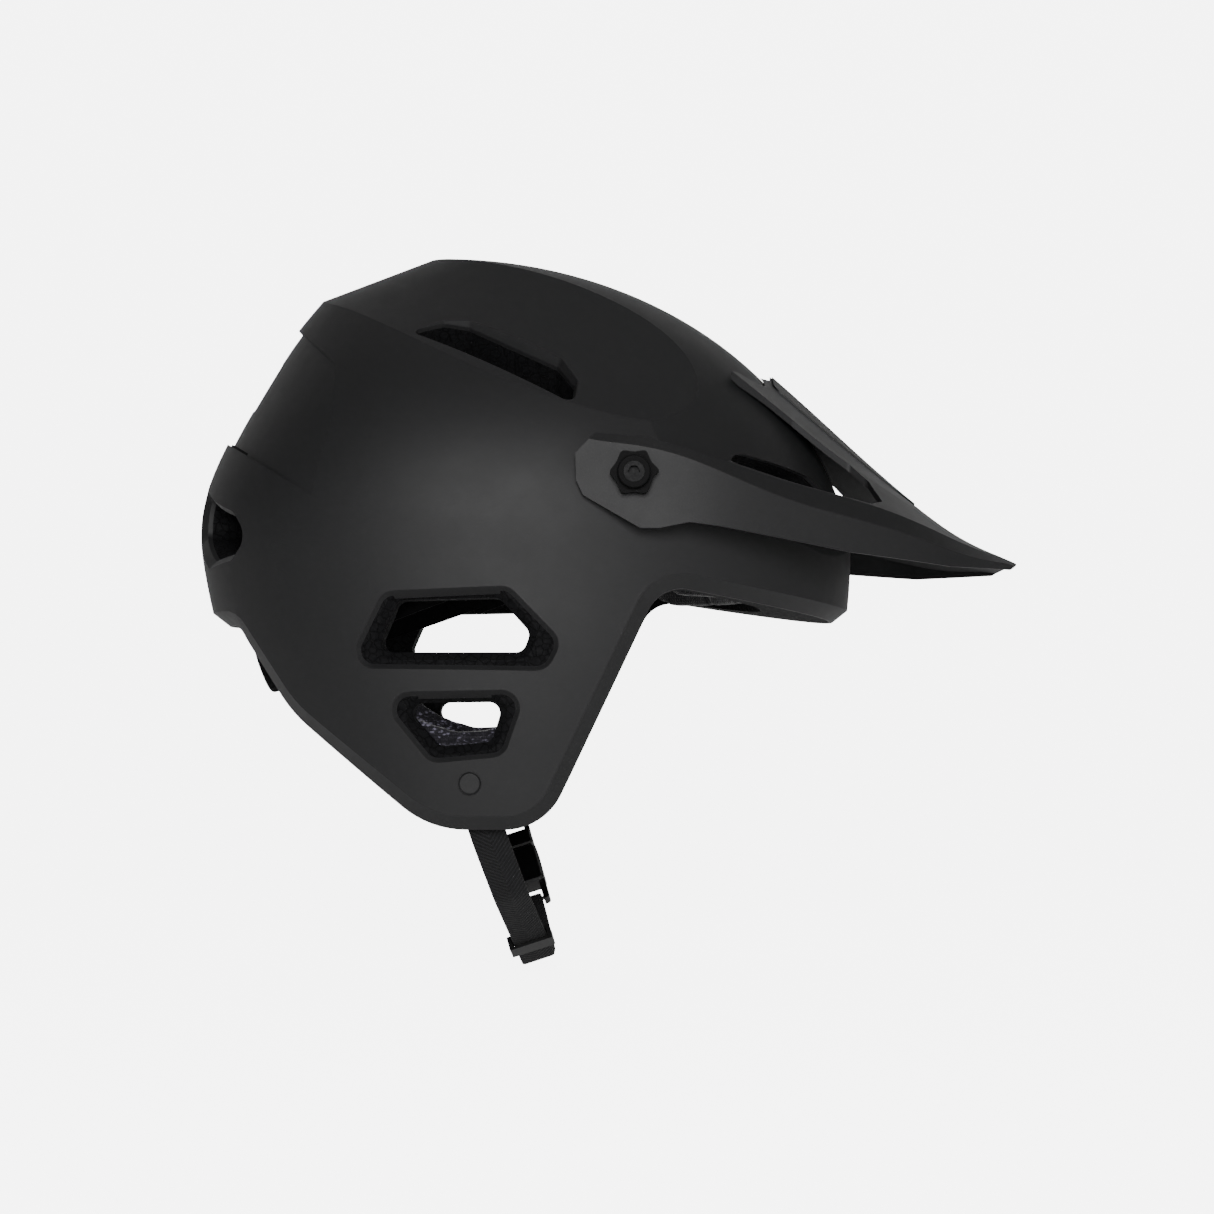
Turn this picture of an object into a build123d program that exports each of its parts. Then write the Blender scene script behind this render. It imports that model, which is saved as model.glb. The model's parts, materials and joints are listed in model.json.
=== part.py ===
"""A mountain-bike helmet with ear cover, a tilting vented visor, a dial-tightened cradle and a chin strap.

Millimetres. +X is the way the wearer looks, +Y their left, +Z up. The origin is the centre of the head
opening, level with the lower edge of the brow.
"""

from build123d import *
from math import copysign, cos, degrees, pi, radians, sin, sqrt
import os

# --- driving dimensions -------------------------------------------------------------------------
SHELL_WALL = 2.0
RIM_BEVEL = 6.0
VENT_BEVEL = 3.2
WIDEST_X = -15.0

# Outer body: height, rear X, front X and half width of each level.
SIDE_LEVELS = [
    (-105, -104, 112, 90),
    (-90, -109.8, 117.8, 93.2),
    (-75, -115.2, 123.2, 95.8),
    (-60, -120, 128, 98),
    (-40, -127.4, 134.4, 100.8),
    (-20, -134, 139.4, 103),
    (0, -139.6, 142.8, 104.3),
    (20, -144, 144.6, 105),
    (45, -146, 144, 105.5),
    (75, -136.5, 137, 100),
    (105, -120, 122, 84),
    (130, -104, 100, 62),
    (150, -88, 78, 42),
    (175, -66, 50, 16),
]
# Shoulder cone: a tilted oval that shrinks upwards and gives the shell its long side crease.
SHOULDER_TILT = 26.57
SHOULDER_HEIGHT = 89.0
SHOULDER_REAR, SHOULDER_HALF = -146.5, 96.0
SHOULDER_SLOPE = 0.907
# Crown: an ellipsoid above the skirt.
CROWN_CENTRE = (-37.0, 0.0, 15.4)
CROWN_AXES = (183.0, 118.0, 148.0)
SKIRT_TOP = 16.0

# Lower edge of the shell seen from the side, and the radius of each inner corner.
RIM_LINE = [(-190, -2), (-124, -2), (-98, -40), (-38, -88.5), (9.5, -88.5), (58, 13.5), (136, 0), (190, -6)]
RIM_RADII = [10, 60, 42, 26, 15, 40]

# Head cavity: height, half length and half width of each level.
CAVITY_LEVELS = [
    (-110, 112, 86.8),
    (-90, 110.5, 86.4),
    (-70, 109, 85.7),
    (-50, 107.5, 84.6),
    (-28, 106.2, 83.4),
    (-6, 105, 82.7),
    (15, 104, 82),
    (36, 101.6, 80),
    (55, 98, 77),
    (72, 90.5, 71),
    (88, 80, 62.5),
    (110, 57, 45),
    (124, 32, 25),
    (129, 12, 9.5),
]
FOAM_SPLIT = -3.0
# Pad behind and below the ear, seen from the side.
EAR_PAD = [
    (-84, -24), (-53, -12.5), (-57, -28), (-52, -36), (-42.5, -42), (-28, -46.7), (-8, -45.2), (5, -43),
    (-3, -57.5), (-38, -57.5), (-60, -46), (-78, -32),
]
PAD = 6.0

# Visor.
VISOR_WALL = 2.4
VISOR_TILT = 15.0
VISOR_GAP = 0.6
PIVOT = (46.5, 58.3)  # X and Z of the tilt axis
PLATE_OUTER = 106.8
# Roof section at each X: centre height, shoulder (Y, Z), edge (Y, Z) and crease (Y, Z).
ROOF_STATIONS = [
    (15, 170, (60, 152), (103.5, 87), (106.8, 81)),
    (60, 143.2, (58, 121.6), (102, 71.5), (106.8, 67)),
    (90, 126, (50, 107), (97.5, 62), (102, 56)),
    (115, 106, (44, 87.3), (88.5, 55), (94, 47)),
    (150, 74, (36, 62.2), (74.5, 46.5), (80, 38.5)),
    (180, 48.5, (30, 43), (57, 36), (62, 30)),
    (200, 35, (20, 32.9), (38, 29.8), (43, 26)),
    (226, 20.5, (8, 20.2), (14, 19), (17, 17)),
]
# Visor seen from the side: what is left after trimming.
VISOR_SIDE = [
    (22.5, 66.5), (33, 77.6), (36, 78.3), (60, 71.2), (86, 63.3), (86, 150), (150, 150), (216.5, 40),
    (216.5, 25), (213, 22.5), (182, 22.3), (137, 27), (82, 36.6), (69.5, 38.2), (57, 35.7), (49, 35.7),
    (25.7, 49.2), (22.8, 55.4),
]
# Opening between the visor's tongue and its arm, seen from above (X, Y).
VISOR_OPENING = [
    (10, 52), (88, 52), (104, 46), (116, 42), (141, 38), (149, 42), (153, 62), (147, 74.5), (135, 80.2),
    (115, 88), (90, 96.8), (60, 101.5), (10, 103),
]
TONGUE_REAR = [(10, -60), (86, -60), (91, -46), (109, -6), (109, 6), (91, 46), (86, 60), (10, 60)]
RIDGE = [(110, 15), (166, 9), (174, 3), (174, -3), (166, -9), (110, -15)]
RIDGE_HEIGHT = 0.8
KNOB_LOBES = 6

BOSS_RADIUS, SCREW_RADIUS = 7.0, 2.5

# Chin strap.
PIN = (-21.0, -69.0)  # X and Z of the strap anchors
PIN_RADIUS = 2.2
CAP_SEAT = 95.6
STRAP_Y = 82.3
STRAP_TILT = 18.0
WEB_WIDTH, WEB_THICK = 15.0, 1.6
# In the plane of the hanging loop: across, and down from the rivets.
BUCKLE_FROM, BUCKLE_TO = (40.0, 62.9), (74.6, 24.2)
BUCKLE_SPAN = sqrt(34.6**2 + 38.7**2)
KEEPER_AT = 16.0

# Fit system.
RING_TILT = 20.0
RING_CENTRE = (-31.5, 0.0, 12.0)
RACK_LEFT_R, RACK_RIGHT_R, RACK_THICK = 75.0, 73.2, 1.2
PINION_R, PINION_TEETH = 4.0, 8
DIAL_START, DIAL_END, DIAL_RADIUS = 83.4, 93.5, 12.5
CRADLE_R, PINION_START = 71.2, 72.9
BAND_Z = (13.0, 29.0)
RAIL_X, RAIL_Z = (-107.5, -101.6), (4.0, 50.0)
RAIL_POCKET = (-107.6, -95.0, -8.6, 8.6, -20.0, 50.1)
TONGUE = (-105.6, -104.1, -6.0, 6.0, -6.2, 34.0)
TEMPLE = (45.0, 21.0)  # X and Z of the pins that hold the brow band

NODES = {}


def node(name, *shapes):
    """Keeps one named sub-part, made of one or more separate solids."""
    NODES[name] = [s for shape in shapes for s in shape.solids()]


def mirrored(shape):
    return mirror(shape, Plane.XZ)


# --- shared shapes ------------------------------------------------------------------------------
def oval(rear, front, half, middle=0.0, power=2.2, points=16):
    """A closed egg outline: its two halves meet at the widest point."""
    outline = []
    for k in range(points):
        c, s = cos(2 * pi * k / points), sin(2 * pi * k / points)
        reach = front - middle if c > 0 else middle - rear
        x = middle + reach * copysign(abs(c) ** (2 / power), c)
        outline.append((x, half * copysign(abs(s) ** (2 / power), s)))
    return make_face(Spline(*outline, periodic=True))


def outline_face(points, radius):
    return make_face(FilletPolyline(*points, radius=radius, close=True))


def side_prism(points, radius, reach=170):
    """An outline in X and Z, extruded through both sides."""
    return extrude(Plane.XZ * outline_face(points, radius), reach, both=True)


def side_body(inset, rear_extra=0.0, half_extra=0.0):
    levels = [
        Plane.XY.offset(z)
        * oval(rear + inset + rear_extra, front - inset, half - inset + half_extra, WIDEST_X, 2.1)
        for z, rear, front, half in SIDE_LEVELS
    ]
    return loft(levels)


def shoulder_frame():
    t = radians(SHOULDER_TILT)
    return Plane(origin=(0, 0, 0), x_dir=(cos(t), 0, -sin(t)), z_dir=(sin(t), 0, cos(t)))


def shoulder_body(inset):
    push = inset * sqrt(1 + SHOULDER_SLOPE**2)
    levels = []
    for height in (-160, 165):
        shrink = SHOULDER_SLOPE * (height - SHOULDER_HEIGHT) + push
        rear, half = SHOULDER_REAR + shrink, SHOULDER_HALF - shrink
        levels.append(shoulder_frame().offset(height) * oval(rear, 260 - shrink, half, 10, 2.1))
    return loft(levels, ruled=True)


def crown_body(inset):
    a, b, c = (axis - inset for axis in CROWN_AXES)
    dome = Pos(*CROWN_CENTRE) * scale(Sphere(1), (a, b, c))
    above = Pos(0, 0, 100 + SKIRT_TOP) * Box(500, 300, 200)
    below = Pos(0, 0, SKIRT_TOP - 80) * Box(500, 300, 160)
    return (dome & above) + below


def above_rim():
    top = [(190, 230), (-190, 230)]
    edge = FilletPolyline(*RIM_LINE, radius=RIM_RADII)
    back = Polyline(RIM_LINE[-1], *top, RIM_LINE[0])
    return extrude(Plane.XZ * make_face(Wire([*edge.edges(), *back.edges()])), 170, both=True)


# --- shell and foam -----------------------------------------------------------------------------
EAR_HIGH = [(-68, -18.5), (-55, 7), (-6, 9), (13.5, -11), (9, -19.5)]
EAR_LOW = [(-55, -34.5), (-1.5, -33.5), (-9, -55), (-36, -57.5)]
# The same two openings are narrower in the foam behind the shell.
EAR_HIGH_INNER = [(-60, -15), (-51, 6.5), (-9, 7.5), (4, -7), (1, -15)]
EAR_LOW_INNER = [(-50, -36), (-7, -35.5), (-12, -52), (-34, -54)]
REAR_VENT = [(13.5, 58.5), (60, 43), (66, 35), (58, 28), (36, 25.5), (13.5, 38)]
BROW_VENT = [(30, 38), (76, 42), (82, 56), (74, 70), (44, 62), (30, 52)]
NAPE_VENT = [(9, 94), (30, 92), (27, 112), (9, 117)]
# On the shoulder above the side crease, along the slope and up it, about the vent's middle.
SHOULDER_VENT = [(-37, -10), (-28.5, 3.6), (-18.8, 8), (26, 8.4), (38.4, 1.6), (44, -10)]
SHOULDER_VENT_AT = (-62.6, -75.5, 100.6)  # in the shoulder cone's own tilted frame
SHOULDER_VENT_X, SHOULDER_VENT_NORMAL = (0.955, -0.297, 0), (-0.220, -0.708, 0.672)
SHOULDER_FLARE = (8.0, 25.0)  # depth, and angle in degrees
# Rear recess seen from the side.
RECESS = [(-150, 178), (-80, 108), (-80, 46), (-135, 80), (-175, 105)]
RECESS_DEPTH = 3.4


def x_prism(points, radius, start, end):
    """An outline in Y and Z on both sides of the helmet, extruded along X."""
    face = Plane.YZ.offset(start) * outline_face(points, radius)
    one = extrude(face, end - start)
    return one + mirrored(one)


def shoulder_vents(inset):
    """A slot square to the slope, flared at its mouth."""
    frame = shoulder_frame()
    local = Plane(origin=SHOULDER_VENT_AT, x_dir=SHOULDER_VENT_X, z_dir=SHOULDER_VENT_NORMAL)
    depth, angle = SHOULDER_FLARE
    face = outline_face(SHOULDER_VENT, 2.5)
    mouth = extrude(local.offset(-depth - inset) * face, 2.2 * depth, taper=-angle)
    slot = extrude(local.offset(0.5 - depth - inset) * face, -45)
    return both_sides(frame.location * (mouth + slot))


def vents(inset):
    high, low = (EAR_HIGH_INNER, EAR_LOW_INNER) if inset else (EAR_HIGH, EAR_LOW)
    return [
        (side_prism(high, 4.5), VENT_BEVEL),
        (side_prism(low, 4.5), VENT_BEVEL),
        (x_prism(REAR_VENT, 4.5, -170, -60), VENT_BEVEL),
        (shoulder_vents(inset), 0),
        (x_prism(BROW_VENT, 5, 60, 170), 0),
        (x_prism(NAPE_VENT, 3, -170, -60), 0),
    ]


def recess(inset):
    grown = [(x + inset, z) for x, z in RECESS]
    return side_prism(grown, 2) - side_body(inset, RECESS_DEPTH, 1.2)


def blank(inset):
    """The helmet's outer form, solid, with its lower edge cut."""
    return (side_body(inset) & shoulder_body(inset) & crown_body(inset) & above_rim()) - recess(inset)


def near_rim(edge):
    """True for an edge that runs round the lower edge of the blank."""
    places = [edge.position_at(t) for t in (0.1, 0.5, 0.9)]
    across = all(abs(p.X - places[0].X) < 0.01 and abs(p.Z - places[0].Z) < 0.01 for p in places)
    return not across and all(p.Z < (14 if p.X > -60 else 1) for p in places)


def cavity(inset=0.0):
    """The head space, solid. It narrows to a small flat at the top."""
    levels = []
    for z, length, width in CAVITY_LEVELS:
        shrink = inset * (0.35 if z > 125 else 1)
        height = z - inset if z > 110 else z
        long, wide = length - shrink, width - shrink
        levels.append(Plane.XY.offset(height) * oval(-long, long, wide, 0, 2.3))
    return loft(levels)


def on_both(edge, first, second):
    """True for an edge whose middle lies on two surfaces at once."""
    middle = Vertex(*edge.position_at(0.5))
    return first.distance_to(middle) < 0.01 and second.distance_to(middle) < 0.01


def skin(inset):
    """The hollow outer form: its lower edge bevelled, and its vents cut with bevelled mouths."""
    form = blank(inset)
    form = chamfer([e for e in form.edges() if near_rim(e)], RIM_BEVEL)
    outside = Compound(form.faces())
    form = form - cavity()
    for opening, bevel in vents(inset):
        form = form - opening
        if bevel:
            cutter = Compound(opening.faces())
            form = chamfer([e for e in form.edges() if on_both(e, cutter, outside)], bevel)
    return form


def y_cylinder(x, z, radius, start, end):
    """A cylinder along Y between two Y values."""
    return Pos(x, (start + end) / 2, z) * Rot(90, 0, 0) * Cylinder(radius, abs(end - start))


def block(x0, x1, y0, y1, z0, z1):
    return Pos((x0 + x1) / 2, (y0 + y1) / 2, (z0 + z1) / 2) * Box(x1 - x0, y1 - y0, z1 - z0)


def both_sides(shape):
    return shape + mirrored(shape)


def pivot_bores():
    return both_sides(y_cylinder(*PIVOT, BOSS_RADIUS + 0.05, 88, 112))


def anchor_bores():
    return both_sides(y_cylinder(*PIN, PIN_RADIUS + 0.05, 70, 112))


def make_shell_and_foam():
    hollow = skin(SHELL_WALL)
    shell = skin(0) - hollow
    bores = pivot_bores() + anchor_bores() + both_sides(y_cylinder(*PIN, 4.65, 90, 112))
    node("outer_shell", shell - bores)
    nape_outline = [(-38, FOAM_SPLIT + 1), (38, FOAM_SPLIT + 1), (58, -60), (-58, -60)]
    nape = extrude(Plane.YZ.offset(-160) * outline_face(nape_outline, 3), 80)
    pocket = block(*RAIL_POCKET)
    foam = hollow - pivot_bores() - anchor_bores() - nape - pocket
    foam = foam - both_sides(y_cylinder(TEMPLE[0], TEMPLE[1], 3.05, 70, 88))
    node("foam_crown", foam & block(-200, 200, -150, 150, FOAM_SPLIT, 200))
    low = foam & block(-200, 200, -150, 150, -150, FOAM_SPLIT)
    node("foam_ear_left", low & block(-200, 200, 0, 150, -150, 10))
    node("foam_ear_right", low & block(-200, 200, -150, 0, -150, 10))


# --- visor --------------------------------------------------------------------------------------
def roof_section(station, inset):
    x, top, shoulder, edge, crease = station
    drop = inset * 1.15
    side = [
        (crease[0] - inset, -20),
        (crease[0] - inset, crease[1] - inset * 0.4),
        (edge[0] - inset, edge[1] - drop),
        (max(shoulder[0] - inset * 0.4, 3), shoulder[1] - drop),
    ]
    other = [(-y, z) for y, z in reversed(side)]
    return Plane.YZ.offset(x) * make_face(Polyline(*side, (0, top - drop), *other, close=True))


def roof(inset):
    return loft([roof_section(s, inset) for s in ROOF_STATIONS])


def tongue_room():
    """The crown's front as the tilting visor meets it, with a running gap all over."""
    front = side_body(-VISOR_GAP) & crown_body(-VISOR_GAP) & block(66, 126, -62, 62, 80, 140)
    axis = Axis((PIVOT[0], 0, PIVOT[1]), (0, -1, 0))
    return [front] + [front.rotate(axis, -angle) for angle in (VISOR_TILT / 2, VISOR_TILT)]


def make_visor():
    hide = roof(0) - roof(VISOR_WALL)
    plan = Plane.XY.offset(20)
    opening = extrude(plan * outline_face(VISOR_OPENING, 3), 180)
    opening = both_sides(opening) + extrude(plan * outline_face(TONGUE_REAR, 2), 180)
    ridge = (roof(-RIDGE_HEIGHT) - roof(0.2)) & extrude(plan * outline_face(RIDGE, 3), 180)
    side = side_prism(VISOR_SIDE, 1.2)
    moulding = ((hide + ridge) - opening) & side
    for room in tongue_room():
        moulding = moulding - room
    node("visor_moulding", moulding - both_sides(y_cylinder(*PIVOT, SCREW_RADIUS + 0.3, 90, 120)))


def knob_face(radius, waist):
    """A lobed outline: bumps of one radius joined by shallow waists."""
    outline = []
    for k in range(2 * KNOB_LOBES):
        reach = radius if k % 2 == 0 else waist
        a = pi * k / KNOB_LOBES
        outline.append((reach * cos(a), reach * sin(a)))
    return make_face(Spline(*outline, periodic=True))


def make_knob(side, flip):
    """A lobed thumb screw through the visor plate, the threaded boss it screws into."""
    seat = Plane(origin=(PIVOT[0], PLATE_OUTER + 0.3, PIVOT[1]), x_dir=(1, 0, 0), z_dir=(0, 1, 0))
    base = extrude(seat * knob_face(9.8, 8.3), 4.2)
    cap = extrude(seat.offset(4.2) * Circle(6.8), 3.2)
    cap = fillet(cap.faces().sort_by(Axis.Y)[-1].edges(), 0.6)
    well = extrude(seat.offset(4.0) * Circle(4.4), 5)
    bore = extrude(seat.offset(-1) * Circle(SCREW_RADIUS + 0.02), 6)
    socket = extrude(seat.offset(4.6) * RegularPolygon(2.6, 6), 4)
    head = extrude(seat.offset(4.05) * Circle(4.3), 3.0) - socket
    shank = extrude(seat.offset(4.05) * Circle(SCREW_RADIUS), -16.0)
    boss = y_cylinder(*PIVOT, BOSS_RADIUS, 89, PLATE_OUTER - VISOR_WALL - 0.3)
    boss = chamfer(boss.faces().sort_by(Axis.Y)[-1].edges(), 1.0)
    boss = boss - y_cylinder(*PIVOT, SCREW_RADIUS + 0.06, 91, 112)
    grip = base + cap - well - bore
    for name, shape in (("knob", grip), ("knob_screw", head + shank), ("visor_boss", boss)):
        node(f"{name}_{side}", mirrored(shape) if flip else shape)


# --- padding ------------------------------------------------------------------------------------
def lining(thick, start=0.0):
    """The layer between the head cavity and a smaller copy of it."""
    return cavity(start) - cavity(start + thick)


def top_prism(points, radius):
    return extrude(Plane.XY.offset(-150) * outline_face(points, radius), 400)


def make_pads():
    layer = lining(PAD)
    half_cross = [(-52, -17), (-17, -17), (-11, -40), (11, -40), (17, -17), (52, -17)]
    arms = top_prism(half_cross + [(x, -y) for x, y in reversed(half_cross)], 7)
    node("crown_pad", layer & arms & block(-150, 150, -150, 150, 90, 200))
    side = side_prism([(-62, 42), (28, 42), (22, 68), (-50, 68)], 9) & layer
    node("side_pad_left", side & block(-150, 150, 10, 150, 0, 200))
    node("side_pad_right", side & block(-150, 150, -150, -10, 0, 200))
    ear = side_prism(EAR_PAD, 4) & layer
    node("ear_pad_left", ear & block(-150, 150, 10, 150, -100, 20))
    node("ear_pad_right", ear & block(-150, 150, -150, -10, -100, 20))
    front = extrude(Plane.YZ.offset(40) * outline_face([(-66, 8), (66, 8), (62, 34), (-62, 34)], 7), 90)
    node("brow_pad", lining(PAD, 2.7) & front)
    rear = extrude(Plane.YZ.offset(-130) * outline_face([(14, 52), (50, 52), (44, 78), (14, 78)], 6), 90)
    node("rear_pad_left", layer & rear)
    node("rear_pad_right", layer & mirrored(rear))


# --- fit system ---------------------------------------------------------------------------------
def ring_plane():
    t = radians(RING_TILT)
    return Plane(origin=RING_CENTRE, x_dir=(cos(t), 0, sin(t)), z_dir=(-sin(t), 0, cos(t)))


def sector(start, end, reach=130, half_height=60):
    """A wedge about the ring's axis. Angles run from the rear, towards the left."""
    steps = max(2, int((end - start) / 30) + 1)
    rim = []
    for k in range(steps + 1):
        a = pi - radians(start + (end - start) * k / steps)
        rim.append((reach * cos(a), reach * sin(a)))
    return Pos(0, 0, -half_height) * extrude(make_face(Polyline((0, 0), *rim, close=True)), 2 * half_height)


def ring(radius, thick, low, high):
    height = high - low
    tube = Cylinder(radius + thick, height) - Cylinder(radius, height + 2)
    return Pos(0, 0, (low + high) / 2) * tube


def radial_block(start, end, half_width, low, high):
    """A block at the rear of the ring, between two radii."""
    return block(-end, -start, -half_width, half_width, low, high)


def rack(radius, sign):
    """A slotted arc: teeth on one edge of its slot, and a long arm forward. sign is +1 for the left."""
    wide = ring(radius, RACK_THICK, -7, 7) & sector(-22, 24)
    arm = ring(radius, RACK_THICK, -4.5, 4.5) & sector(23, 104)
    tip = ring(radius, RACK_THICK, -7, 7) & sector(94, 104)
    slot = ring(radius - 1, RACK_THICK + 2, -5.4, 5.4) & sector(-18, 18)
    band = wide + arm + tip - slot
    pitch = degrees(pi / (radius + RACK_THICK / 2))
    for k in range(-8, 8):
        profile = Polyline((-1.05, 5.6), (-0.35, 3.2), (0.35, 3.2), (1.05, 5.6), close=True)
        tooth = Plane.YZ.offset(-radius - 3) * make_face(profile)
        bar = extrude(tooth, 6) & ring(radius, RACK_THICK, -7, 7)
        band = band + Rot(0, 0, -(k + 0.5) * pitch) * bar
    if sign < 0:
        band = mirror(mirrored(band), Plane.XY)
    return band


def pinion():
    """A spur gear on the dial's axis, with module 1 teeth."""
    teeth = []
    pitch = 2 * pi / PINION_TEETH
    for k in range(PINION_TEETH):
        for part, reach in ((-0.30, 3.0), (-0.13, 4.8), (0.13, 4.8), (0.30, 3.0)):
            a = (k + part) * pitch
            teeth.append((reach * cos(a), reach * sin(a)))
    face = make_face(Polyline(*teeth, close=True))
    plane = Plane(origin=(-PINION_START, 0, 0), x_dir=(0, 0, 1), z_dir=(-1, 0, 0))
    return extrude(plane * face, 3.5) - extrude(plane * Circle(1.62), 3.5)


def make_fit_system():
    place = ring_plane().location
    node("band_left", place * rack(RACK_LEFT_R, 1))
    node("band_right", place * rack(RACK_RIGHT_R, -1))
    node("dial_pinion", place * pinion())
    plane = Plane(origin=(-DIAL_START, 0, 0), x_dir=(0, 0, 1), z_dir=(-1, 0, 0))
    grip = extrude(plane * Circle(DIAL_RADIUS), DIAL_END - DIAL_START)
    grip = fillet(grip.faces().sort_by(Axis.X)[0].edges(), 2.0)
    for k in range(20):
        a = 2 * pi * k / 20
        reach = DIAL_RADIUS + 0.4
        groove = plane.offset(-1) * Pos(reach * cos(a), reach * sin(a)) * Circle(0.9)
        grip = grip - extrude(groove, 20)
    reach = DIAL_START - PINION_START
    shaft = extrude(plane.offset(-reach) * Circle(1.6), reach + 1)
    node("dial_knob", place * (grip + shaft))
    inner = ring(CRADLE_R, 1.6, -10, 10) & sector(-38, 38)
    outer = ring(CRADLE_R + 5.6, 1.8, -9.4, 9.4) & sector(-13, 13)
    roof_low = ring(CRADLE_R + 1.4, 4.4, 7.6, 9.4) & sector(-13, 13)
    boss = radial_block(CRADLE_R + 6.4, DIAL_START - 0.4, 6.5, -6.5, 6.5)
    housing = inner + outer + roof_low + mirror(roof_low, Plane.XY) + boss
    mouth = Plane(origin=(-CRADLE_R - 4.8, 0, 0), x_dir=(0, 0, 1), z_dir=(-1, 0, 0))
    housing = housing - extrude(mouth * Circle(1.66), 10)
    neck = ring(CRADLE_R, 6.4, 7.6, 12.2) & sector(-4, 4)
    tongue = block(*TONGUE)
    node("cradle_yoke", place * housing + place * neck + tongue)
    for side, start, end in (("left", 14, 37), ("right", -37, -14)):
        pad = ring(CRADLE_R - 4.1, 4.1, -9, 9) & sector(start, end)
        node(f"cradle_pad_{side}", place * pad)
    channel = block(RAIL_X[0] + 1.5, RAIL_X[0] + 3.7, -6.4, 6.4, -20, RAIL_Z[1] - 2)
    slit = block(RAIL_X[0] + 1.5, RAIL_X[1] + 1, -4.4, 4.4, -20, RAIL_Z[1] - 2)
    node("height_rail", block(*RAIL_X, -8.5, 8.5, *RAIL_Z) - channel - slit)


def make_brow_band():
    arc = lining(1.4, 1.2)
    band = arc & block(20, 150, -100, 100, *BAND_Z)
    ends = side_prism([(24, 13), (60, 10), (60, 32), (24, 29)], 4)
    band = (arc & ends) + (band & block(40, 150, -100, 100, *BAND_Z))
    node("brow_band", band - both_sides(y_cylinder(*TEMPLE, 1.85, 60, 90)))
    pin = y_cylinder(*TEMPLE, 1.8, 68.5, 84) + y_cylinder(*TEMPLE, 3.0, 76.2, 86)
    node("temple_anchor_left", pin)
    node("temple_anchor_right", mirrored(pin))


# --- chin strap ---------------------------------------------------------------------------------
def loop_plane():
    """The plane of the hanging loop: local x is +Y of the helmet, local y is down the loop."""
    t = radians(STRAP_TILT)
    return Plane(origin=(PIN[0], 0, PIN[1]), x_dir=(0, 1, 0), z_dir=(-cos(t), 0, -sin(t)))


def ribbon(points, radii, thick=WEB_THICK, width=WEB_WIDTH):
    """Flat webbing seen edge-on: a path of constant thickness, as wide as the webbing."""
    path = FilletPolyline(*points, radius=radii)
    return loop_plane() * extrude(trace(path, thick), width / 2, both=True)


def make_straps():
    """Right: from its rivet, under the chin, round the buckle's bar and back. Left: round the other bar."""
    under = [(-STRAP_Y, -4), (-STRAP_Y, 24), (-62, 51), (-11, 84.5), (11, 84.5), (38, 68), (42.7, 62.8)]
    right = under + [(39.9, 60.3), (34.6, 66), (10.2, 82.5), (-10.2, 82.5), (-32.9, 67.7)]
    left = [(STRAP_Y, -4), (STRAP_Y, 14), (75.4, 26.8), (72.06, 25), (78.6, 12.9), (80.2, 6.5)]
    holes = both_sides(y_cylinder(*PIN, PIN_RADIUS + 0.06, 60, 100))
    node("strap_right", ribbon(right, [20, 25, 8, 8, 10, 1.7, 1.7, 10, 6, 6]) - holes)
    node("strap_left", ribbon(left, [12, 1.7, 1.7, 8]) - holes)
    rivet = y_cylinder(*PIN, PIN_RADIUS, 79.6, CAP_SEAT) + y_cylinder(*PIN, 3.6, 79.6, 81.1)
    cap = y_cylinder(*PIN, 4.6, CAP_SEAT, CAP_SEAT + 2.3)
    cap = fillet(cap.faces().sort_by(Axis.Y)[-1].edges(), 0.8)
    for side, flip in (("left", False), ("right", True)):
        node(f"strap_rivet_{side}", mirrored(rivet) if flip else rivet)
        node(f"rivet_cap_{side}", mirrored(cap) if flip else cap)


def buckle_place():
    """Local x runs from the ladder bar to the far strap's bar, local y is the strap's width."""
    along = Vector(BUCKLE_TO[0] - BUCKLE_FROM[0], BUCKLE_TO[1] - BUCKLE_FROM[1], 0).normalized()
    plane = loop_plane()
    x_dir = plane.from_local_coords(along) - plane.origin
    y_dir = plane.z_dir
    origin = plane.from_local_coords(Vector(*BUCKLE_FROM, 0))
    return Plane(origin=origin, x_dir=x_dir, z_dir=x_dir.cross(y_dir)).location


def rounded_block(x0, x1, half_width, half_thick, radius):
    body = block(x0, x1, -half_width, half_width, -half_thick, half_thick)
    return fillet(body.edges().filter_by(Axis.Z), radius)


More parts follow.
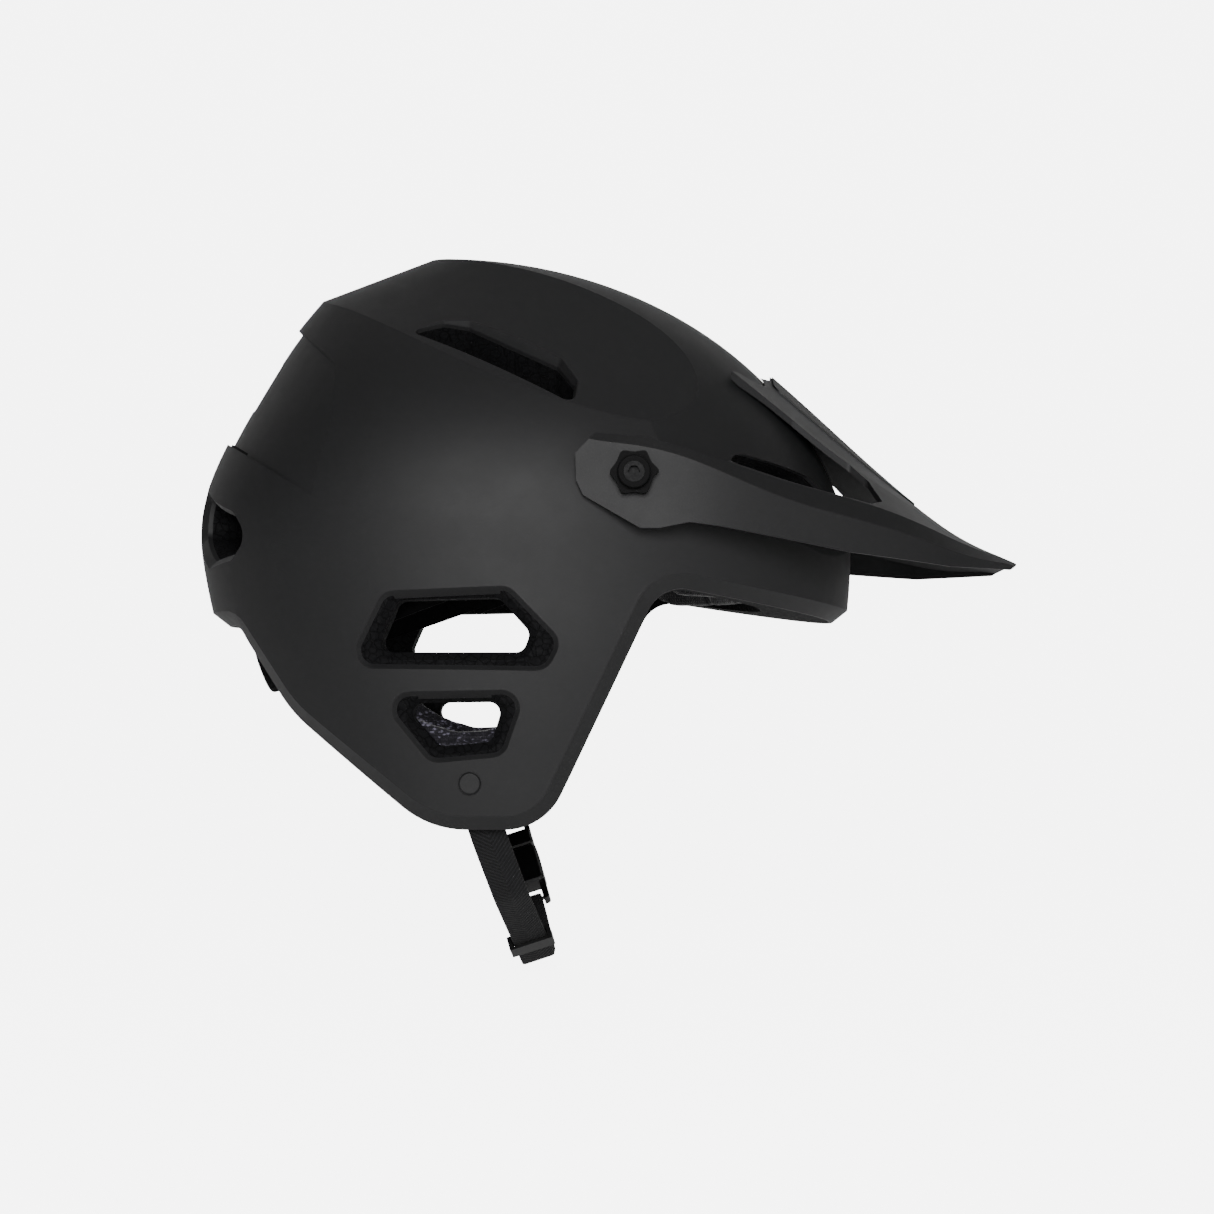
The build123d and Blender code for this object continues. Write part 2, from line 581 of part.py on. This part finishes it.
def make_buckle():
    place = buckle_place()
    bar = Rot(90, 0, 0) * Cylinder(0.9, 17)
    rails = rounded_block(-2.0, 12, 11, 2.4, 1.5) - block(-3, 8.5, -8.2, 8.2, -4, 4)
    shell = rounded_block(8, 30, 11.2, 4.6, 2.5)
    shell = chamfer(shell.faces().sort_by(Axis.Z)[-1].edges() + shell.faces().sort_by(Axis.Z)[0].edges(), 1.0)
    pocket = block(11, 31, -9.4, 9.4, -2.7, 2.7)
    windows = block(15, 24.5, -12, 12, -2.7, 2.7)
    node("buckle_socket", place * ((rails + shell + bar) - pocket - windows))
    base = rounded_block(31.05, 40.5, 10.6, 3.8, 1.8)
    base = chamfer(base.faces().sort_by(Axis.Z)[-1].edges() + base.faces().sort_by(Axis.Z)[0].edges(), 0.8)
    frame = rounded_block(39, BUCKLE_SPAN + 2, 10.6, 2.2, 1.5)
    frame = frame - block(40.5, BUCKLE_SPAN + 3, -8.2, 8.2, -4, 4)
    guide = block(14, 32, -2, 2, -1.8, 1.8)
    node("buckle_plug", place * (base + frame + guide + Pos(BUCKLE_SPAN, 0, 0) * bar))
    hook = [(16.2, 6.6), (17.2, 9.2), (20, 10.4), (22.6, 10.6), (23.2, 8.3)]
    outline = [(29.6, 5.5), (17.5, 5.5)] + hook + [(29.6, 8.3)]
    arm = Pos(0, 0, -2.2) * extrude(outline_face(outline, 0.5), 4.4)
    arm = arm + Pos(29.6, 6.9, 0) * Cylinder(1.4, 4.4)
    node("buckle_prong_front", place * arm)
    node("buckle_prong_rear", place * mirror(arm, Plane.XZ))


def make_keeper():
    near, far = Vector(-11, 84.5), Vector(-62, 51)
    along = (far - near).normalized()
    spot = near + along * KEEPER_AT
    plane = loop_plane()
    x_dir = plane.from_local_coords(along) - plane.origin
    origin = plane.from_local_coords(spot)
    place = Plane(origin=origin, x_dir=x_dir, z_dir=plane.z_dir.cross(x_dir)).location
    ring_block = block(-3.5, 3.5, -9.8, 9.8, -2.4, 4.4) - block(-5, 5, -8, 8, -1.1, 3.1)
    ring_block = fillet(ring_block.edges().filter_by(Axis.X), 0.5)
    node("strap_keeper", place * ring_block)


def write_parts():
    os.makedirs("parts", exist_ok=True)
    for name, solids in NODES.items():
        shape = solids[0] if len(solids) == 1 else Compound(solids)
        export_step(shape, f"parts/{name}.step")


if __name__ == "__main__":
    make_shell_and_foam()
    make_visor()
    make_knob("left", False)
    make_knob("right", True)
    make_pads()
    make_brow_band()
    make_fit_system()
    make_straps()
    make_buckle()
    make_keeper()
    write_parts()
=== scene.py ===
"""Looks for the mountain-bike helmet: materials, soft pieces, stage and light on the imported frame."""

import json
import math
import bpy
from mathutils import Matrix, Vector, noise


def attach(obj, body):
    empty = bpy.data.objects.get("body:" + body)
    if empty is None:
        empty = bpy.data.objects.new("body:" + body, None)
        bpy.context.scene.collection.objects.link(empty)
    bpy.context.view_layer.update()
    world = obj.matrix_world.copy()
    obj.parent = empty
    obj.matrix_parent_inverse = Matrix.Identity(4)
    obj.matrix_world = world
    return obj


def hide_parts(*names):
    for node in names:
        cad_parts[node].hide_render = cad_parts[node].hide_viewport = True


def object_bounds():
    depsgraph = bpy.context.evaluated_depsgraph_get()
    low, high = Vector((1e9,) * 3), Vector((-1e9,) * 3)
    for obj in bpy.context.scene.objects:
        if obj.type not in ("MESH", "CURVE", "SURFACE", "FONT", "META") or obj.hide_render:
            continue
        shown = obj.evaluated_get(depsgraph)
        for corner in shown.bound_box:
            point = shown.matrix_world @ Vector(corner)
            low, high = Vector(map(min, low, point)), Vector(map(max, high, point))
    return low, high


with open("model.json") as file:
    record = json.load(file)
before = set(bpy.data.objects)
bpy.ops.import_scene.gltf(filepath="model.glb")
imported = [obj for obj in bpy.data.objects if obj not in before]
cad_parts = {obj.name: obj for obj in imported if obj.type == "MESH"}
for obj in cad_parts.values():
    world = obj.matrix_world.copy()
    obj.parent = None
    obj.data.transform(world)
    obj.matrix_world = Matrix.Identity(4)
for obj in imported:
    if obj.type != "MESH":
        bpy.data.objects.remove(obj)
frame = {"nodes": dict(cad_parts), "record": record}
nodes = frame["nodes"]
cad_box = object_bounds()


# --- node helpers -------------------------------------------------------------------------------
class Paint:
    """A material's node tree, with short calls for the nodes used here."""

    def __init__(self, name):
        self.material = bpy.data.materials.new(name)
        self.material.use_nodes = True
        self.tree = self.material.node_tree
        self.shader = self.tree.nodes["Principled BSDF"]
        self.coords = self.tree.nodes.new("ShaderNodeTexCoord")

    def set(self, **values):
        for key, value in values.items():
            self.shader.inputs[key.replace("_", " ")].default_value = value

    def link(self, source, target):
        self.tree.links.new(source, target)

    def value(self, target, source):
        if hasattr(source, "links"):
            self.link(source, target)
        else:
            target.default_value = source

    def math(self, kind, a, b=0.0, c=0.0):
        n = self.tree.nodes.new("ShaderNodeMath")
        n.operation = kind
        for i, v in enumerate((a, b, c)):
            self.value(n.inputs[i], v)
        return n.outputs[0]

    def noise(self, scale, detail=2.0, rough=0.5, where=None, distort=0.0):
        n = self.tree.nodes.new("ShaderNodeTexNoise")
        n.inputs["Scale"].default_value = scale
        n.inputs["Detail"].default_value = detail
        n.inputs["Roughness"].default_value = rough
        n.inputs["Distortion"].default_value = distort
        self.link(where or self.coords.outputs["Object"], n.inputs["Vector"])
        return n.outputs["Fac"]

    def cells(self, scale, feature="F1", where=None, randomness=1.0):
        n = self.tree.nodes.new("ShaderNodeTexVoronoi")
        n.feature = feature
        n.inputs["Scale"].default_value = scale
        n.inputs["Randomness"].default_value = randomness
        self.link(where or self.coords.outputs["Object"], n.inputs["Vector"])
        return n.outputs["Distance"]

    def stretch(self, x, y, z, where=None):
        n = self.tree.nodes.new("ShaderNodeMapping")
        n.inputs["Scale"].default_value = (x, y, z)
        self.link(where or self.coords.outputs["Object"], n.inputs["Vector"])
        return n.outputs[0]

    def ramp(self, source, low, high, out_low=0.0, out_high=1.0):
        n = self.tree.nodes.new("ShaderNodeMapRange")
        n.interpolation_type = "SMOOTHSTEP"
        self.link(source, n.inputs["Value"])
        for key, v in (("From Min", low), ("From Max", high), ("To Min", out_low), ("To Max", out_high)):
            n.inputs[key].default_value = v
        return n.outputs[0]

    def mix(self, factor, first, second):
        n = self.tree.nodes.new("ShaderNodeMix")
        n.data_type = "RGBA"
        self.link(factor, n.inputs[0])
        for socket, v in ((n.inputs[6], first), (n.inputs[7], second)):
            if hasattr(v, "links"):
                self.link(v, socket)
            else:
                socket.default_value = (*v, 1.0)
        return n.outputs[2]

    def bump(self, height, depth, previous=None):
        n = self.tree.nodes.new("ShaderNodeBump")
        n.inputs["Distance"].default_value = depth
        n.inputs["Strength"].default_value = 1.0
        self.link(height, n.inputs["Height"])
        if previous:
            self.link(previous, n.inputs["Normal"])
        return n.outputs[0]

    def colour(self, source):
        self.link(source, self.shader.inputs["Base Color"])

    def rough(self, source):
        self.link(source, self.shader.inputs["Roughness"])

    def normal(self, source):
        self.link(source, self.shader.inputs["Normal"])


def moulded(name, dark, light, rough, grain, depth, **more):
    """Moulded plastic: faint mottling, fine spark texture, and roughness that varies a little."""
    p = Paint(name)
    p.set(**more)
    p.colour(p.mix(p.noise(22, 3), dark, light))
    p.rough(p.ramp(p.noise(60, 4, 0.6), 0.3, 0.7, rough - 0.015, rough + 0.015))
    fine = p.math("ADD", p.noise(grain, 3, 0.65), p.math("MULTIPLY", p.cells(grain * 0.8), 0.5))
    p.normal(p.bump(fine, depth))
    return p.material


def expanded_foam(name):
    """Moulded bead foam: packed cells with pin holes between them."""
    p = Paint(name)
    edge = p.cells(300, "DISTANCE_TO_EDGE")
    seam = p.ramp(edge, 0.0, 0.12)
    p.colour(p.mix(seam, (0.0012, 0.0012, 0.0014), (0.0040, 0.0040, 0.0045)))
    p.rough(p.ramp(p.noise(400, 2), 0.3, 0.7, 0.72, 0.92))
    p.normal(p.bump(p.noise(1400, 2), 0.00006, p.bump(seam, 0.00018)))
    p.set(Specular_IOR_Level=0.12)
    return p.material


def knitted(name, dark, light, printed=None, sheen=0.35):
    """Brushed knit over foam: small loops, pilling, and an optional mottled print."""
    p = Paint(name)
    loops = p.cells(1250, "F1", p.stretch(1, 1, 0.7), 0.35)
    pile = p.noise(1900, 3, 0.7)
    base = p.mix(p.ramp(loops, 0.1, 0.6), light, dark)
    if printed:
        streaks = p.noise(120, 5, 0.72, p.stretch(1, 1, 2.6), 0.8)
        flecks = p.cells(430, "F1", p.stretch(1, 1, 2.0))
        mask = p.math("MULTIPLY", p.ramp(streaks, 0.47, 0.55), p.ramp(flecks, 0.55, 0.25))
        base = p.mix(mask, base, printed)
    p.colour(base)
    p.rough(p.ramp(pile, 0.3, 0.7, 0.82, 0.98))
    p.set(Sheen_Weight=sheen, Sheen_Roughness=0.5, Specular_IOR_Level=0.2)
    p.normal(p.bump(pile, 0.0001, p.bump(p.ramp(loops, 0.0, 0.7, 1.0, 0.0), 0.00022)))
    return p.material


HALF_WIDE = 0.0075  # half the webbing's width


def woven(name):
    """Polyester webbing: diagonal ribs that meet along the middle. UVs are in metres."""
    p = Paint(name)
    split = p.tree.nodes.new("ShaderNodeSeparateXYZ")
    p.link(p.coords.outputs["UV"], split.inputs[0])
    along, across = split.outputs[0], split.outputs[1]
    folded = p.math("ABSOLUTE", p.math("SUBTRACT", across, HALF_WIDE))
    ribs = p.math("SINE", p.math("MULTIPLY", p.math("ADD", along, folded), 2 * math.pi / 0.0021))
    slanted = p.math("SUBTRACT", along, p.math("MULTIPLY", folded, 0.6))
    yarns = p.math("SINE", p.math("MULTIPLY", slanted, 2 * math.pi / 0.0008))
    weave = p.math("ADD", p.math("MULTIPLY", ribs, 0.5), p.math("MULTIPLY", yarns, 0.22))
    fluff = p.noise(2600, 2)
    p.colour(p.mix(p.ramp(weave, -0.5, 0.6), (0.0016, 0.0016, 0.0018), (0.0105, 0.0105, 0.0115)))
    p.rough(p.ramp(fluff, 0.3, 0.7, 0.62, 0.8))
    p.set(Sheen_Weight=0.03, Sheen_Roughness=0.4, Specular_IOR_Level=0.22)
    p.normal(p.bump(fluff, 0.00005, p.bump(weave, 0.00028)))
    return p.material


def brushed(name, dark, light, rough, shine):
    """Steel under a dull black coat, with fine turning streaks."""
    p = Paint(name)
    streak = p.noise(900, 3, 0.6, p.stretch(1, 0.06, 1))
    p.colour(p.mix(streak, dark, light))
    p.rough(p.ramp(streak, 0.3, 0.7, rough - 0.06, rough + 0.08))
    p.set(Specular_IOR_Level=shine)
    p.normal(p.bump(streak, 0.00003))
    return p.material


def grey(level, blue=1.05):
    return (level, level, level * blue)


# name, darkest and lightest colour, roughness, grain, depth of the grain in metres
SHELL = moulded("shell_matte", grey(0.0100), grey(0.0106), 0.57, 1700, 0.00002, Specular_IOR_Level=0.28)
VISOR = moulded("visor_matte", grey(0.0092), grey(0.0099), 0.55, 1500, 0.000035, Specular_IOR_Level=0.28)
HARD = moulded("hard_black", grey(0.0022), grey(0.0034), 0.6, 1300, 0.00004, Specular_IOR_Level=0.07)
RIVET = moulded("rivet_black", grey(0.0080), grey(0.0088), 0.55, 1300, 0.00003, Specular_IOR_Level=0.22)
GLOSS = moulded("buckle_acetal", grey(0.003), grey(0.0045), 0.33, 900, 0.00002, Specular_IOR_Level=0.4)
FOAM = expanded_foam("bead_foam")
STEEL = brushed("black_steel", grey(0.004), grey(0.009), 0.55, 0.12)
PAD = knitted("pad_knit", (0.004, 0.004, 0.0045), (0.016, 0.016, 0.018))
EAR = knitted("ear_knit", (0.006, 0.0055, 0.008), (0.022, 0.02, 0.028), (0.16, 0.15, 0.20))
WEB = woven("strap_webbing")
THREAD = knitted("thread", (0.01, 0.01, 0.011), (0.04, 0.04, 0.043), sheen=0.1)

BY_SLOT = {"shell": SHELL, "foam": FOAM, "visor": VISOR, "hard_black": HARD, "screw": STEEL,
           "rivet": RIVET, "pad": PAD, "ear_pad": EAR, "webbing": WEB, "buckle": GLOSS}


def dress(mesh_object, material):
    mesh_object.data.materials.clear()
    mesh_object.data.materials.append(material)


for part in frame["record"]["subparts"]:
    dress(nodes[part["node"]], BY_SLOT[part["material_slot"]])
for cap in ("rivet_cap_left", "rivet_cap_right"):
    dress(nodes[cap], RIVET)


# --- soft pieces --------------------------------------------------------------------------------
PAD_ROOM = 0.0009
CLOTH_FRAMES = 20
CLOTH_PRESSURE = 4.0


def mesh_object(name, vertices, faces, material, body):
    """A smooth-shaded mesh that rides on a body."""
    mesh = bpy.data.meshes.new(name)
    mesh.from_pydata(vertices, [], faces)
    mesh.update()
    made = bpy.data.objects.new(name, mesh)
    bpy.context.scene.collection.objects.link(made)
    mesh.materials.append(material)
    for polygon in mesh.polygons:
        polygon.use_smooth = True
    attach(made, body)
    return made


def apply_all(piece):
    """The piece's mesh with its modifiers applied."""
    graph = bpy.context.evaluated_depsgraph_get()
    mesh = bpy.data.meshes.new_from_object(piece.evaluated_get(graph))
    piece.modifiers.clear()
    piece.data = mesh


def remeshed(source, name, voxel):
    """A copy of a CAD pad, remeshed evenly and drawn in a little so that it has room to swell."""
    piece = bpy.data.objects.new(name, source.data.copy())
    bpy.context.scene.collection.objects.link(piece)
    weld = piece.modifiers.new("weld", "WELD")
    weld.merge_threshold = 1e-5
    grid = piece.modifiers.new("grid", "REMESH")
    grid.mode = "VOXEL"
    grid.voxel_size = voxel
    soften = piece.modifiers.new("soften", "SMOOTH")
    soften.factor = 0.5
    soften.iterations = 3
    apply_all(piece)
    for vertex, normal in [(v, v.normal.copy()) for v in piece.data.vertices]:
        vertex.co -= normal * PAD_ROOM
    return piece


def swell(piece, cap):
    """Blows the pad up as cloth. No point ends further than cap from where it began."""
    scene = bpy.context.scene
    before = [v.co.copy() for v in piece.data.vertices]
    cloth = piece.modifiers.new("cloth", "CLOTH")
    cloth.settings.use_pressure = True
    cloth.settings.uniform_pressure_force = CLOTH_PRESSURE
    cloth.settings.quality = 5
    cloth.settings.effector_weights.gravity = 0
    cloth.point_cache.frame_start, cloth.point_cache.frame_end = 1, CLOTH_FRAMES
    for k in range(1, CLOTH_FRAMES + 1):
        scene.frame_set(k)
    apply_all(piece)
    scene.frame_set(1)
    for vertex, start in zip(piece.data.vertices, before):
        move = vertex.co - start
        if move.length > cap:
            vertex.co = start + move.normalized() * cap


def pad(node, body, material, voxel=0.0024, cap=0.0017, groove=None):
    """A sewn pad in the place of its CAD solid. groove gives the depth of a seam at a point."""
    piece = remeshed(nodes[node], node + "_soft", voxel)
    swell(piece, cap)
    finer = piece.modifiers.new("finer", "SUBSURF")
    finer.levels = finer.render_levels = 1
    apply_all(piece)
    if groove:
        for vertex, normal in [(v, v.normal.copy()) for v in piece.data.vertices]:
            vertex.co -= normal * groove(vertex.co)
    dress(piece, material)
    for polygon in piece.data.polygons:
        polygon.use_smooth = True
    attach(piece, body)
    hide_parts(node)


def line_gap(p, a, b):
    """How far a 2-D point is from a segment."""
    p, a, b = Vector(p), Vector(a), Vector(b)
    t = max(0.0, min(1.0, (p - a).dot(b - a) / (b - a).length_squared))
    return (p - a - (b - a) * t).length


def seam(distance, depth, width):
    """The depth of a sewn line at a distance from it."""
    return depth * math.exp(-((distance / width) ** 2))


EAR_OUTLINE = [(-0.084, -0.024), (-0.053, -0.0125), (-0.057, -0.028), (-0.052, -0.036),
               (-0.0425, -0.042), (-0.028, -0.0467), (-0.008, -0.0452), (0.005, -0.043),
               (-0.003, -0.0575), (-0.038, -0.0575), (-0.060, -0.046), (-0.078, -0.032)]


def ear_groove(co):
    """A line of stitching a little inside the ear pad's edge."""
    loop = zip(EAR_OUTLINE, EAR_OUTLINE[1:] + EAR_OUTLINE[:1])
    edge = min(line_gap((co.x, co.z), a, b) for a, b in loop)
    return seam(edge - 0.0032, 0.0009, 0.0008)


def cross_grooves(step, axis):
    """Channels sewn across a pad, a fixed step apart."""
    def depth(co):
        place = co[axis] / step
        return seam((place - round(place)) * step, 0.0010, 0.0012)
    return depth


for side in ("left", "right"):
    pad(f"ear_pad_{side}", "helmet", EAR, cap=0.0012, groove=ear_groove)
pad("brow_pad", "helmet", PAD, groove=cross_grooves(0.022, 1))
pad("crown_pad", "helmet", PAD, groove=cross_grooves(0.026, 0))
for side in ("left", "right"):
    pad(f"side_pad_{side}", "helmet", PAD, groove=cross_grooves(0.024, 0))
for side in ("left", "right"):
    pad(f"rear_pad_{side}", "helmet", PAD)
for side in ("left", "right"):
    pad(f"cradle_pad_{side}", "cradle", PAD, voxel=0.0018, cap=0.001)


# --- chin strap ---------------------------------------------------------------------------------
# The hanging loop lies in a plane through the two rivets. DOWN runs along it, and WIDE is across
# the webbing.
TILT = math.radians(18)
PIN = Vector((-0.021, 0, -0.069))
STRAP_STEP = 0.0016
ARC_PIECES = 12
DOWN = Vector((math.sin(TILT), 0, -math.cos(TILT)))
ACROSS = Vector((0, 1, 0))
WIDE = Vector((-math.cos(TILT), 0, -math.sin(TILT)))


def rounded_path(points, radii):
    """The points with each inner corner turned into an arc."""
    path = [Vector(points[0])]
    for before, corner, after, radius in zip(points, points[1:], points[2:], radii):
        a, b, c = Vector(before), Vector(corner), Vector(after)
        u, v = (a - b).normalized(), (c - b).normalized()
        half = math.acos(max(-1, min(1, u.dot(v)))) / 2
        reach = radius / math.tan(half)
        centre = b + (u + v).normalized() * radius / math.sin(half)
        first, last = b + u * reach - centre, b + v * reach - centre
        turn = first.angle_signed(last)
        for k in range(ARC_PIECES + 1):
            angle = -turn * k / ARC_PIECES
            spin = Vector((first.x * math.cos(angle) - first.y * math.sin(angle),
                           first.x * math.sin(angle) + first.y * math.cos(angle)))
            path.append(centre + spin)
    path.append(Vector(points[-1]))
    return path


def resample(path, step):
    """The path with its runs divided into equal pieces of about step."""
    out = [path[0]]
    for a, b in zip(path, path[1:]):
        pieces = max(1, int((b - a).length / step))
        out += [a + (b - a) * k / pieces for k in range(1, pieces + 1)]
    return out


def tube_faces(rings, count, first=0):
    """The quads of a tube of rings, with its two end caps."""
    faces = []
    for r in range(rings - 1):
        low, high = first + r * count, first + (r + 1) * count
        for k in range(count):
            after = (k + 1) % count
            faces.append((low + k, low + after, high + after, high + k))
    last = first + (rings - 1) * count
    start_cap = tuple(first + k for k in reversed(range(count)))
    end_cap = tuple(last + k for k in range(count))
    return faces + [start_cap, end_cap]


HALF_SECTION = [(-HALF_WIDE, 0.0), (-0.0072, 0.00055), (-0.0062, 0.0008), (-0.003, 0.0008)]
UPPER = HALF_SECTION + [(-a, t) for a, t in reversed(HALF_SECTION)]
SECTION = UPPER + [(a, -t) for a, t in reversed(UPPER[1:-1])]


def webbing(name, node, points, radii, slack):
    """Flat webbing along a path in the hanging loop's plane. UVs: metres along and across."""
    corners = [(y / 1000, down / 1000) for y, down in points]
    path = resample(rounded_path(corners, [r / 1000 for r in radii]), STRAP_STEP)
    rows, lengths, travelled = [], [], 0.0
    for k, here in enumerate(path):
        ahead, behind = path[min(k + 1, len(path) - 1)], path[max(k - 1, 0)]
        forward = (ahead - behind).normalized()
        side = Vector((-forward.y, forward.x))
        travelled += (here - path[k - 1]).length if k else 0.0
        lengths.append(travelled)
        wave = slack * noise.noise(Vector((travelled * 22, 0, 3.1)))
        row = []
        for across, thick in SECTION:
            ripple = slack * 0.5 * noise.noise(Vector((travelled * 60, across * 90, 7.7)))
            flat = here + side * (thick + wave + ripple)
            row.append(PIN + ACROSS * flat.x + DOWN * flat.y + WIDE * across)
        rows.append(row)
    count = len(SECTION)
    faces = tube_faces(len(rows), count)
    piece = mesh_object(name, [v for row in rows for v in row], faces, WEB, "chin_strap")
    layer = piece.data.uv_layers.new(name="UVMap")
    for loop in piece.data.loops:
        row, k = divmod(loop.vertex_index, count)
        layer.data[loop.index].uv = (lengths[row], SECTION[k][0] + HALF_WIDE)
    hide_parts(node)


# Corners of each strap in the loop's plane, in millimetres: across the helmet, and down from the
# rivets. The radii round every corner but the first and last points.
RIGHT = [(-82.3, -4), (-82.3, 24), (-62, 51), (-11, 84.5), (11, 84.5), (38, 68), (42.7, 62.8),
         (39.9, 60.3), (34.6, 66), (10.2, 82.5), (-10.2, 82.5), (-32.9, 67.7)]
LEFT = [(82.3, -4), (82.3, 14), (75.4, 26.8), (72.06, 25), (78.6, 12.9), (80.2, 6.5)]
webbing("strap_right_webbing", "strap_right", RIGHT, [20, 25, 8, 8, 10, 1.7, 1.7, 10, 6, 6], 0.00012)
webbing("strap_left_webbing", "strap_left", LEFT, [12, 1.7, 1.7, 8], 0.0001)


THREAD_RADIUS = 0.00022
THREAD_SIDES = 6
THREAD_RINGS = ((0.0, -0.0001), (0.25, 0.00028), (0.75, 0.00028), (1.0, -0.0001))


def stitches(name, rows):
    """Short threads lying on the webbing: rows of (start, end, normal). They dip in at both ends."""
    vertices, faces = [], []
    for start, end, up in rows:
        along = (end - start).normalized()
        side = along.cross(up).normalized()
        base = len(vertices)
        for t, lift in THREAD_RINGS:
            centre = start + (end - start) * t + up * lift
            for k in range(THREAD_SIDES):
                a = 2 * math.pi * k / THREAD_SIDES
                vertices.append(centre + (side * math.cos(a) + up * math.sin(a)) * THREAD_RADIUS)
        faces += tube_faces(len(THREAD_RINGS), THREAD_SIDES, base)
    mesh_object(name, vertices, faces, THREAD, "chin_strap")


def box_stitch(centre, normal, length, width=0.010, step=0.0016):
    """A boxed cross of stitches in the plane at centre."""
    a, b = DOWN * (length / 2), WIDE * (width / 2)
    corners = [centre - a - b, centre + a - b, centre + a + b, centre - a + b]
    pairs = ((0, 1), (1, 2), (2, 3), (3, 0), (0, 2), (1, 3))
    runs = [(corners[first], corners[last]) for first, last in pairs]
    out = []
    for a, b in runs:
        count = max(2, int((b - a).length / step))
        for k in range(count):
            p, q = a + (b - a) * (k + 0.12) / count, a + (b - a) * (k + 0.82) / count
            out.append((p, q, normal))
    return out


def loop_point(y, d):
    """A point in the loop's plane, from millimetres across and down."""
    return PIN + ACROSS * (y / 1000) + DOWN * (d / 1000)


near_side = box_stitch(loop_point(-83.15, 13), -ACROSS, 0.010)
near_side += box_stitch(loop_point(-81.45, 13), ACROSS, 0.010)
far_side = box_stitch(loop_point(83.15, 9), ACROSS, 0.008)
stitches("strap_stitching", near_side + far_side)


# --- stage, light and camera --------------------------------------------------------------------
def sweep():
    """A pale floor that curves up into a backdrop behind the object."""
    floor_z = cad_box[0][2] - 0.004
    back_y, bend, width, far, steps = 2.2, 1.2, 5.0, 40.0, 24
    profile = [(-far, floor_z, far), (-2.0, floor_z, far)]
    for k in range(steps + 1):
        a = math.pi / 2 * k / steps
        y, z = back_y - bend + bend * math.sin(a), floor_z + bend - bend * math.cos(a)
        profile.append((y, z, width))
    profile.append((back_y, 4.5, width))
    vertices = [(x, y, z) for y, z, half in profile for x in (-half, half)]
    faces = [(2 * k, 2 * k + 1, 2 * k + 3, 2 * k + 2) for k in range(len(profile) - 1)]
    mesh = bpy.data.meshes.new("sweep")
    mesh.from_pydata(vertices, [], faces)
    for polygon in mesh.polygons:
        polygon.use_smooth = True
    floor = bpy.data.objects.new("sweep", mesh)
    bpy.context.scene.collection.objects.link(floor)
    p = Paint("pale_floor")
    p.colour(p.mix(p.noise(3, 2), (0.90, 0.90, 0.90), (0.92, 0.92, 0.92)))
    p.set(Roughness=0.9, Specular_IOR_Level=0.1)
    p.shader.inputs["Emission Color"].default_value = (1, 1, 1, 1)
    # paler to the camera than the light it throws on the object
    seen = p.tree.nodes.new("ShaderNodeLightPath").outputs["Is Camera Ray"]
    glow = p.math("MULTIPLY_ADD", seen, 5.5, 0.30)
    p.link(glow, p.shader.inputs["Emission Strength"])
    mesh.materials.append(p.material)


def area_light(name, place, target, size, power):
    data = bpy.data.lights.new(name, "AREA")
    data.shape = "DISK"
    data.size = size
    data.energy = power
    lamp = bpy.data.objects.new(name, data)
    lamp.location = place
    lamp.rotation_euler = (Vector(target) - Vector(place)).to_track_quat("-Z", "Y").to_euler()
    bpy.context.scene.collection.objects.link(lamp)


sweep()
area_light("key", (0.02, -1.95, 0.52), (0.0, 0.0, 0.04), 0.9, 40)
area_light("top", (0.3, 0.2, 2.2), (0.0, 0.0, 0.0), 2.4, 4)
area_light("fill", (1.8, -1.0, 0.5), (0.0, 0.0, 0.0), 1.2, 3)

world = bpy.data.worlds.new("studio")
world.use_nodes = True
world.node_tree.nodes["Background"].inputs[0].default_value = (1, 1, 1, 1)
world.node_tree.nodes["Background"].inputs[1].default_value = 0.06
bpy.context.scene.world = world

SENSOR, IMAGE_SIDE, FOCAL, SHIFT_UP = 36.0, 1214, 2556, 93
lens = bpy.data.cameras.new("camera")
lens.sensor_width = SENSOR
lens.lens = SENSOR * FOCAL / IMAGE_SIDE
camera = bpy.data.objects.new("camera", lens)
camera.location = (0.0355, -1.150, -0.03465)
camera.rotation_euler = (math.pi / 2 + math.atan(SHIFT_UP / FOCAL), 0, 0)
bpy.context.scene.collection.objects.link(camera)
bpy.context.scene.camera = camera
